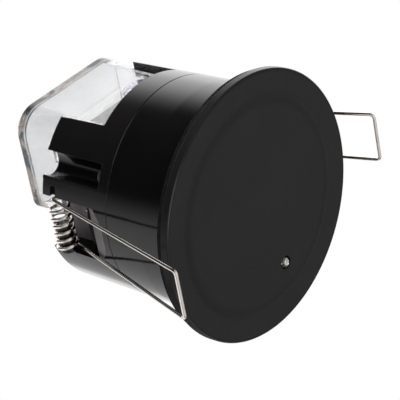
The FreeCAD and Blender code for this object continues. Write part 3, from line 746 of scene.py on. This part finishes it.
class Recipe:
    """A Geometry Nodes tree with named inputs."""

    def __init__(self, name: str, inputs: dict[str, Number]) -> None:
        """Make the tree.

        Args:
            name: its name.
            inputs: name and value of each input.
        """
        self.tree = bpy.data.node_groups.new(name, "GeometryNodeTree")
        self.graph = Graph(self.tree)
        self.name = name
        self.values = inputs
        for key, value in inputs.items():
            kind = "NodeSocketInt" if isinstance(value, int) else "NodeSocketFloat"
            self.tree.interface.new_socket(name=key, in_out="INPUT", socket_type=kind)
        self.tree.interface.new_socket(name="Geometry", in_out="OUTPUT", socket_type="NodeSocketGeometry")
        self.source = self.graph.node("NodeGroupInput", {}, {})

    def value(self, name: str) -> bpy.types.NodeSocket:
        """The socket of a named input."""
        return self.source.outputs[name]

    def node(self, kind: str, settings: dict[str, Any], values: dict[Any, Any]) -> bpy.types.NodeSocket:
        """Add a node, as in a shader graph, and give its first output."""
        return self.graph.node(kind, settings, values).outputs[0]

    def moved(self, geometry: bpy.types.NodeSocket, way: Colour) -> bpy.types.NodeSocket:
        """Move geometry by millimetres."""
        way_m = tuple(length * MM for length in way)
        return self.node("GeometryNodeTransform", {}, {"Geometry": geometry, "Translation": way_m})

    def mesh(self, geometry: bpy.types.NodeSocket, material: bpy.types.Material) -> bpy.types.Mesh:
        """End the tree and evaluate it.

        Args:
            geometry: what the tree makes.
            material: the finish of all of it.

        Returns:
            A plain mesh.
        """
        real = self.node("GeometryNodeRealizeInstances", {}, {0: geometry})
        dressed = self.node("GeometryNodeSetMaterial", {}, {"Geometry": real, "Material": material})
        self.graph.node("NodeGroupOutput", {}, {0: dressed})
        holder = bpy.data.objects.new(self.name + "_recipe", bpy.data.meshes.new(self.name + "_empty"))
        bpy.context.scene.collection.objects.link(holder)
        modifier = holder.modifiers.new("recipe", "NODES")
        modifier.node_group = self.tree
        for item in self.tree.interface.items_tree:
            if item.in_out == "INPUT" and item.name in self.values:
                modifier[item.identifier] = self.values[item.name]
        bpy.context.view_layer.update()
        evaluated = holder.evaluated_get(bpy.context.evaluated_depsgraph_get())
        mesh = bpy.data.meshes.new_from_object(evaluated)
        mesh.name = self.name
        holder.modifiers.clear()
        bpy.data.objects.remove(holder)
        return mesh


def turned(
    shape: bmesh.types.BMesh,
    profile: Sequence[tuple[float, float]],
    centre: tuple[float, float],
    corners: int,
    flat: float = math.inf,
) -> list[list[bmesh.types.BMVert]]:
    """Add the rings of a turned shape, and the faces between them.

    Args:
        shape: the shape that they go into.
        profile: radius and height of each ring.
        centre: where the axis stands.
        corners: number of corners of a ring.
        flat: distance from the axis at which the side towards +X is cut flat.

    Returns:
        The corners of each ring.
    """
    rings = []
    for radius, z in profile:
        ring = []
        for i in range(corners):
            a = 2 * math.pi * i / corners
            x = centre[0] + min(radius * math.cos(a), flat)
            ring.append(shape.verts.new((x, centre[1] + radius * math.sin(a), z)))
        rings.append(ring)
    for low, high in zip(rings, rings[1:]):
        for i in range(corners):
            j = (i + 1) % corners
            shape.faces.new((low[i], low[j], high[j], high[i]))
    return rings


def in_metres(shape: bmesh.types.BMesh, name: str) -> bpy.types.Mesh:
    """End a shape that was drawn in millimetres.

    Args:
        shape: the shape, which is freed.
        name: name of the mesh.

    Returns:
        Its mesh in metres.
    """
    bmesh.ops.recalc_face_normals(shape, faces=shape.faces)
    mesh = bpy.data.meshes.new(name)
    shape.to_mesh(mesh)
    shape.free()
    for vertex in mesh.vertices:
        vertex.co *= MM
    return mesh


def add_piece(
    name: str, mesh: bpy.types.Mesh, body: Body, material: bpy.types.Material | None = None
) -> bpy.types.Object:
    """Put a finished mesh in the scene.

    Args:
        name: the piece's name.
        mesh: its mesh, in place.
        body: the body that carries it.
        material: its finish, if the mesh has none.

    Returns:
        The new object.
    """
    piece = bpy.data.objects.new(name, mesh)
    bpy.context.scene.collection.objects.link(piece)
    if material is not None:
        mesh.materials.clear()
        mesh.materials.append(material)
    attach(piece, body.value)
    LOG.info("piece %s: %d faces on %s", name, len(mesh.polygons), body.value)
    return piece


@dataclass
class Dressing:
    """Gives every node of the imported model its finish."""

    made: dict[str, bpy.types.Material] = field(default_factory=dict)

    def apply(self) -> None:
        """Assign each node the finish that its name has in the table."""
        for name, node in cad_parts.items():
            material = FINISHES[name].build()
            self.made[name] = material
            node.data.materials.clear()
            node.data.materials.append(material)
            LOG.info("node %s: %s", name, material.name)


@dataclass
class Indicator:
    """The indicator's clear lens, and the lead frame that shows through it."""

    x: float = -6.23
    y: float = -21.64
    lens_r: float = 1.5
    tip_z: float = -5.05
    flange_r: float = 1.88
    flange_z: float = 0.05
    back_z: float = 0.98
    flat: float = 1.55
    lens_corners: int = 40
    dome_step: int = 9
    cup_z: float = -3.5
    cup_r: float = 0.74
    cup_shift: float = -0.45
    cup_corners: int = 20
    thin_shift: float = 0.75
    foot_z: float = 0.8
    post: float = 0.30
    post_taper: float = 0.7

    def lens(self, material: bpy.types.Material) -> None:
        """Make the domed lens with its flange, which stands for the plain solid.

        Args:
            material: the clear finish.
        """
        profile = []
        for degrees in range(self.dome_step, 91, self.dome_step):
            a = math.radians(degrees)
            profile.append((self.lens_r * math.sin(a), self.tip_z + self.lens_r * (1 - math.cos(a))))
        profile += [(self.lens_r, self.flange_z), (self.flange_r, self.flange_z), (self.flange_r, self.back_z)]
        shape = bmesh.new()
        rings = turned(shape, profile, (self.x, self.y), self.lens_corners, self.flat)
        tip = shape.verts.new((self.x, self.y, self.tip_z))
        back = shape.verts.new((self.x, self.y, self.back_z))
        for i in range(self.lens_corners):
            j = (i + 1) % self.lens_corners
            shape.faces.new((tip, rings[0][j], rings[0][i]))
            shape.faces.new((back, rings[-1][i], rings[-1][j]))
        for face in shape.faces:
            face.smooth = face.calc_center_median().z < self.tip_z + self.lens_r
        piece = add_piece("led_lens", in_metres(shape, "led_lens"), Body.SENSOR, material)
        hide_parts("indicator_led")

    def leads(self, material: bpy.types.Material) -> None:
        """Make the cup, its post and the thin post beside it.

        Args:
            material: the tinned finish.
        """
        outline = [(0.12, 0.0), (0.30, -0.25), (self.cup_r, -0.34), (self.cup_r, 0.25), (0.34, 0.5), (0.3, 0.7)]
        profile = [(radius, self.cup_z + rise) for radius, rise in outline]
        shape = bmesh.new()
        rings = turned(shape, profile, (self.x + self.cup_shift, self.y), self.cup_corners)
        shape.faces.new(rings[0][::-1])
        shape.faces.new(rings[-1])
        self._post(shape, self.x + self.cup_shift, self.cup_z + 0.6)
        self._post(shape, self.x + self.thin_shift, self.cup_z - 0.1)
        add_piece("led_frame", in_metres(shape, "led_frame"), Body.SENSOR, material)

    def _post(self, shape: bmesh.types.BMesh, x: float, top: float) -> None:
        """Add a tapered post that stands on the foot.

        Args:
            shape: the shape that it goes into.
            x: where it stands.
            top: its height.
        """
        ends = []
        for z, half in ((top, self.post * self.post_taper), (self.foot_z, self.post)):
            corners = [(-half, -half), (half, -half), (half, half), (-half, half)]
            ends.append([shape.verts.new((x + dx, self.y + dy, z)) for dx, dy in corners])
        low, high = ends
        for i in range(4):
            j = (i + 1) % 4
            shape.faces.new((low[i], low[j], high[j], high[i]))
        shape.faces.new(low[::-1])
        shape.faces.new(high)


@dataclass(frozen=True)
class Block:
    """One block of a small part, or a pair of equal blocks at its ends."""

    word: str
    slot: str
    length: float
    width: float
    height: float
    apart: float = 0.0


CHIP_BODY = Block("bodies", "chip", 1.0, 0.82, 0.50)
CHIP_CAPS = Block("caps", "solder", 0.28, 0.86, 0.54, apart=0.55)


@dataclass
class ChipField:
    """Small surface-mounted parts scattered over a round patch of a board."""

    name: str
    x: float
    y: float
    z: float
    radius: float
    spacing: float
    seed: int
    side: float
    patch_corners: int = 24
    density: float = 400000.0

    def build(self, resin: bpy.types.Material, tin: bpy.types.Material) -> None:
        """Make the bodies and their end caps.

        Args:
            resin: finish of the bodies.
            tin: finish of the end caps.
        """
        for block, material in ((CHIP_BODY, resin), (CHIP_CAPS, tin)):
            mesh = self._scatter(block, material)
            add_piece(self.name + "_" + block.word, mesh, Body.SENSOR)

    def _scatter(self, block: Block, material: bpy.types.Material) -> bpy.types.Mesh:
        """Scatter one kind of block.

        Args:
            block: its sizes.
            material: its finish.

        Returns:
            The mesh.
        """
        recipe = Recipe(
            self.name + "_" + block.word,
            {
                "Radius": self.radius * MM,
                "Spacing": self.spacing * MM,
                "Seed": self.seed,
                "Length": block.length * MM,
            },
        )
        patch = recipe.node(
            "GeometryNodeMeshCircle",
            {"fill_type": "NGON"},
            {"Vertices": self.patch_corners, "Radius": recipe.value("Radius")},
        )
        points = recipe.node(
            "GeometryNodeDistributePointsOnFaces",
            {"distribute_method": "POISSON"},
            {
                "Mesh": patch,
                "Distance Min": recipe.value("Spacing"),
                "Density Max": self.density,
                "Seed": recipe.value("Seed"),
            },
        )
        sizes = {0: recipe.value("Length"), 1: block.width * MM, 2: block.height * MM}
        size = recipe.node("ShaderNodeCombineXYZ", {}, sizes)
        shape = recipe.node("GeometryNodeMeshCube", {}, {"Size": size})
        if block.apart > 0:
            pair = recipe.graph.node("GeometryNodeJoinGeometry", {}, {})
            for way in (-block.apart, block.apart):
                recipe.tree.links.new(recipe.moved(shape, (way, 0.0, 0.0)), pair.inputs[0])
            shape = pair.outputs[0]
        chance = {"Min": 0, "Max": 1, "Seed": recipe.value("Seed")}
        turn = recipe.graph.node("FunctionNodeRandomValue", {"data_type": "INT"}, chance).outputs[2]
        angle = recipe.node("ShaderNodeMath", {"operation": "MULTIPLY"}, {0: turn, 1: math.pi / 2})
        spin = recipe.node("ShaderNodeCombineXYZ", {}, {0: 0.0, 1: 0.0, 2: angle})
        placed = recipe.node(
            "GeometryNodeInstanceOnPoints", {}, {"Points": points, "Instance": shape, "Rotation": spin}
        )
        there = recipe.moved(placed, (self.x, self.y, self.z + self.side * block.height / 2))
        return recipe.mesh(there, material)


@dataclass
class Thread:
    """The threads of equal screws, each a ridge that follows a helix round its shank."""

    name: str
    spots: Sequence[tuple[float, float]]
    low: float
    high: float
    radius: float
    pitch: float
    ridge: float
    slot: str
    steps: int = 16
    ridge_corners: int = 4

    def build(self, material: bpy.types.Material) -> None:
        """Make the threads of all the screws.

        Args:
            material: the screws' finish.
        """
        joined = bmesh.new()
        for spot in self.spots:
            joined.from_mesh(self._ridge(spot, material))
        mesh = bpy.data.meshes.new(self.name)
        joined.to_mesh(mesh)
        joined.free()
        add_piece(self.name, mesh, Body.SENSOR, material)

    def _ridge(self, spot: tuple[float, float], material: bpy.types.Material) -> bpy.types.Mesh:
        """Make the thread of one screw.

        Args:
            spot: where the screw stands.
            material: its finish.

        Returns:
            The mesh.
        """
        recipe = Recipe(
            self.name,
            {
                "Turns": float((self.high - self.low) / self.pitch),
                "Radius": self.radius * MM,
                "Height": (self.high - self.low) * MM,
                "Ridge": self.ridge * MM,
            },
        )
        helix = recipe.node(
            "GeometryNodeCurveSpiral",
            {},
            {
                "Resolution": self.steps,
                "Rotations": recipe.value("Turns"),
                "Start Radius": recipe.value("Radius"),
                "End Radius": recipe.value("Radius"),
                "Height": recipe.value("Height"),
            },
        )
        edge = recipe.node(
            "GeometryNodeCurvePrimitiveCircle",
            {},
            {"Resolution": self.ridge_corners, "Radius": recipe.value("Ridge")},
        )
        ridge = recipe.node(
            "GeometryNodeCurveToMesh", {}, {"Curve": helix, "Profile Curve": edge, "Fill Caps": True}
        )
        return recipe.mesh(recipe.moved(ridge, (*spot, self.low)), material)


@dataclass(frozen=True)
class Softbox:
    """A square lamp that faces the part, placed in metres by how it lies in the picture."""

    name: str
    across: float
    above: float
    near: float
    size: float
    watts: float


@dataclass
class Studio:
    """Camera, floor, world and lamps."""

    lens: float = 199.48
    sensor: float = 36.0
    spot: Colour = (0.37827, 0.29887, -0.35729)
    right: Colour = (-0.6235831, -0.1669388, -0.7637248)
    down: Colour = (0.4789412, -0.8537072, -0.2044491)
    ahead: Colour = (-0.6178668, -0.4932702, 0.6123112)
    aim: Colour = (0.0, 0.0, 0.024)
    floor_z: float = -0.62
    floor_half: float = 9.0
    ambient: float = 0.30
    high_box: float = 1.95
    low_box: float = 0.85
    back_wall: float = 1.5
    dim: float = 0.02
    lamps: tuple[Softbox, ...] = (
        Softbox("top_box", across=-0.15, above=0.75, near=0.10, size=0.55, watts=7.0),
        Softbox("low_box", across=-0.25, above=-0.75, near=0.10, size=0.5, watts=3.0),
        Softbox("face_box", across=0.32, above=0.28, near=0.42, size=0.35, watts=3.4),
    )

    def camera(self) -> None:
        """Place the camera at the photograph's view."""
        data = bpy.data.cameras.new("camera")
        data.lens = self.lens
        data.sensor_width = self.sensor
        data.sensor_fit = "HORIZONTAL"
        data.clip_start = 0.01
        data.clip_end = 20.0
        camera = bpy.data.objects.new("camera", data)
        bpy.context.scene.collection.objects.link(camera)
        right, up, back = Vector(self.right), -Vector(self.down), -Vector(self.ahead)
        turn = Matrix((right, up, back)).transposed().to_4x4()
        camera.matrix_world = Matrix.Translation(Vector(self.spot)) @ turn
        bpy.context.scene.camera = camera
        bpy.context.scene.view_settings.view_transform = "Standard"

    def floor(self) -> None:
        """Make the floor, far below the part."""
        mesh = bpy.data.meshes.new("studio_floor")
        shape = bmesh.new()
        bmesh.ops.create_grid(shape, x_segments=8, y_segments=8, size=self.floor_half)
        shape.to_mesh(mesh)
        shape.free()
        for vertex in mesh.vertices:
            vertex.co.z = self.floor_z
        plane = bpy.data.objects.new("studio_floor", mesh)
        bpy.context.scene.collection.objects.link(plane)
        mesh.materials.append(Ground().build())

    def world(self) -> None:
        """Even light, white to the camera, and bright or dark sides for gloss."""
        world = bpy.data.worlds.new("studio")
        bpy.context.scene.world = world
        world.use_nodes = True
        g = Graph(world.node_tree)
        way = g.node("ShaderNodeTexCoord", {}, {}).outputs["Generated"]
        up = tuple(-part for part in self.down)
        height, depth = (
            g.term(g.node("ShaderNodeVectorMath", {"operation": "DOT_PRODUCT"}, {0: way, 1: axis}), "Value")
            for axis in (up, self.ahead)
        )
        # The steps are in cosines between a ray and the picture's upward and forward axes.
        above = depth.step(0.2, 0.66) * height.step(-0.3, 0.3) * (1 - depth.step(0.84, 1.0) * 0.42) * self.high_box
        below = (0 - height).step(0.0, 0.46) * self.low_box
        behind = depth.step(0.83, 0.93) * (1 - depth.step(0.95, 1.0) * 0.25) * self.back_wall
        gloss = above.most(below).most(behind) + self.dim
        ray = g.node("ShaderNodeLightPath", {}, {})
        seen = g.term(ray, "Is Camera Ray").most(g.term(ray, "Is Transmission Ray"))
        glossy = g.term(ray, "Is Glossy Ray")
        level = seen + (1 - seen) * (glossy * gloss + (1 - glossy) * self.ambient)
        back = g.node("ShaderNodeBackground", {}, {"Color": WHITE, "Strength": level})
        g.node("ShaderNodeOutputWorld", {}, {"Surface": back.outputs[0]})

    def lamp(self, box: Softbox) -> None:
        """Add a softbox, which gloss doesn't mirror.

        Args:
            box: its size, power and place.
        """
        data = bpy.data.lights.new(box.name, "AREA")
        data.shape = "SQUARE"
        data.size = box.size
        data.energy = box.watts
        lamp = bpy.data.objects.new(box.name, data)
        bpy.context.scene.collection.objects.link(lamp)
        aim, ahead = Vector(self.aim), Vector(self.ahead)
        lamp.location = aim + box.across * Vector(self.right) - box.above * Vector(self.down) - box.near * ahead
        lamp.visible_glossy = False
        lamp.rotation_mode = "QUATERNION"
        lamp.rotation_quaternion = (aim - lamp.location).to_track_quat("-Z", "Y")

    def build(self) -> None:
        """Set up everything but the part."""
        self.camera()
        self.floor()
        self.world()
        for box in self.lamps:
            self.lamp(box)


@dataclass
class HousingScrews:
    """Where the two screws that join the halves of the housing stand."""

    circle_r: float = 28.8
    degrees: float = 32.4

    def threads(self, material: bpy.types.Material) -> None:
        """Make the threads of both screws.

        Args:
            material: the screws' finish.
        """
        a = math.radians(self.degrees)
        x, y = self.circle_r * math.cos(a), self.circle_r * math.sin(a)
        Thread(
            "housing_threads",
            spots=((x, y), (-x, y)),
            low=15.8,
            high=22.8,
            radius=1.25,
            pitch=0.9,
            ridge=0.17,
            slot="screw_black",
        ).build(material)


def main() -> None:
    """Build the scene."""
    logging.basicConfig(level=logging.INFO, format="%(name)s: %(message)s")
    Studio().build()
    dressing = Dressing()
    dressing.apply()
    made = dressing.made
    indicator = Indicator()
    indicator.lens(made["indicator_led"])
    indicator.leads(made["led_leads"])
    resin, tin = made["microcontroller_chip"], made["solder_joints"]
    middle = ChipField("middle_chips", x=5.0, y=0.0, z=11.0, radius=10.5, spacing=2.6, seed=7, side=-1.0)
    middle.build(resin, tin)
    edge = ChipField("edge_chips", x=25.0, y=1.2, z=33.0, radius=1.6, spacing=2.0, seed=3, side=1.0)
    edge.build(resin, tin)
    HousingScrews().threads(made["housing_screws"])


if __name__ == "__main__":
    main()
    LOG.info("boxes written")
